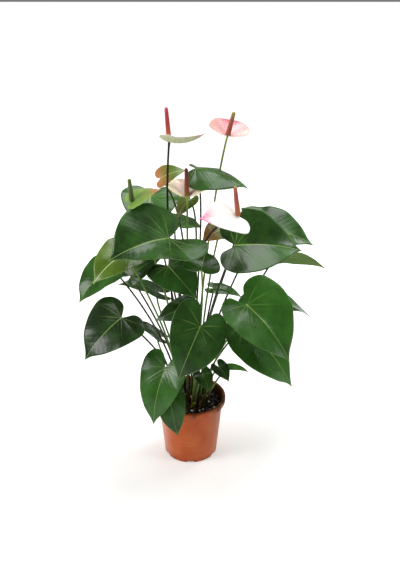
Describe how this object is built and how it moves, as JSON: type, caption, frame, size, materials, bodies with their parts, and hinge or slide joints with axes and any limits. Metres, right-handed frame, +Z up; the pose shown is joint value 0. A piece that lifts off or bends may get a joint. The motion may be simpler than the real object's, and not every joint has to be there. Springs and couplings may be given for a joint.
{
  "type": "potted anthurium",
  "caption": "Flowering anthurium with glossy heart-shaped leaves, pink, white and green spathes on thin stalks, standing in a round terracotta-coloured plastic nursery pot",
  "frame": {"origin": "centre of the pot's foot, on the surface the pot stands on", "axes": "+Z up through the middle of the pot; -Y toward the front, the side the flowers and big leaves face; +X to the right seen from the front"},
  "size_m": [0.468, 0.3405, 0.707],
  "materials": {
    "left_spadix": "matte, finely bumped spadix",
    "left_spathe": "waxy green spathe",
    "green_flower_stalk": "smooth green stalk",
    "middle_spadix": "matte, finely bumped spadix",
    "middle_spathe": "waxy pale peach-pink spathe",
    "top_left_spadix": "matte, finely bumped spadix",
    "top_left_spathe": "waxy cream-green spathe",
    "dark_flower_stalk": "smooth near-black stalk",
    "top_right_spadix": "matte, finely bumped spadix",
    "top_right_spathe": "waxy pink spathe",
    "white_spadix": "matte, finely bumped spadix",
    "white_spathe": "waxy white spathe",
    "green_leaf": "glossy waxed green leaf",
    "leaf_stalk": "smooth green stalk",
    "bronze_leaf": "young bronze leaf, satin",
    "fresh_leaf": "fresh green leaf, underside toward the front",
    "young_leaf": "soft yellow-green young leaf",
    "pot": "moulded terracotta-coloured polypropylene, slightly dusty satin",
    "rootstock": "rough green-brown crown",
    "soil": "damp peat and bark compost, rough"
  },
  "bodies": {
    "root": {"flower_left_spadix": "left_spadix", "flower_left_spathe": "left_spathe", "flower_left_stalk": "green_flower_stalk", "flower_middle_spadix": "middle_spadix", "flower_middle_spathe": "middle_spathe", "flower_middle_stalk": "green_flower_stalk", "flower_top_left_spadix": "top_left_spadix", "flower_top_left_spathe": "top_left_spathe", "flower_top_left_stalk": "dark_flower_stalk", "flower_top_right_spadix": "top_right_spadix", "flower_top_right_spathe": "top_right_spathe", "flower_top_right_stalk": "green_flower_stalk", "flower_white_spadix": "white_spadix", "flower_white_spathe": "white_spathe", "flower_white_stalk": "dark_flower_stalk", "leaf_back_right": "green_leaf", "leaf_back_upper_left_blade": "green_leaf", "leaf_back_upper_left_stalk": "leaf_stalk", "leaf_basal_centre": "green_leaf", "leaf_basal_right": "green_leaf", "leaf_bronze_peach": "bronze_leaf", "leaf_bronze_small": "bronze_leaf", "leaf_bronze_top": "bronze_leaf", "leaf_centre_bright": "green_leaf", "leaf_centre_dark_blade": "green_leaf", "leaf_centre_dark_stalk": "leaf_stalk", "leaf_centre_low_back": "green_leaf", "leaf_far_left_blade": "green_leaf", "leaf_far_left_stalk": "leaf_stalk", "leaf_front_centre_blade": "green_leaf", "leaf_front_centre_stalk": "leaf_stalk", "leaf_front_left_blade": "green_leaf", "leaf_front_left_stalk": "leaf_stalk", "leaf_left_thin": "green_leaf", "leaf_left_under": "green_leaf", "leaf_low_left_back": "green_leaf", "leaf_low_left_blade": "green_leaf", "leaf_low_left_stalk": "leaf_stalk", "leaf_low_right_blade": "green_leaf", "leaf_low_right_stalk": "leaf_stalk", "leaf_mid_right_blade": "green_leaf", "leaf_mid_right_stalk": "leaf_stalk", "leaf_over_rim": "green_leaf", "leaf_rear_centre": "green_leaf", "leaf_rear_left": "green_leaf", "leaf_rear_right": "green_leaf", "leaf_right_back_blade": "green_leaf", "leaf_right_back_stalk": "leaf_stalk", "leaf_right_under": "fresh_leaf", "leaf_small_right": "green_leaf", "leaf_top_centre_blade": "green_leaf", "leaf_top_centre_stalk": "leaf_stalk", "leaf_upper_left_blade": "green_leaf", "leaf_upper_left_stalk": "leaf_stalk", "leaf_upper_right_blade": "green_leaf", "leaf_upper_right_stalk": "leaf_stalk", "leaf_young_left": "young_leaf", "pot": "pot", "rootstock": "rootstock", "soil": "soil"}
  },
  "joints": []
}
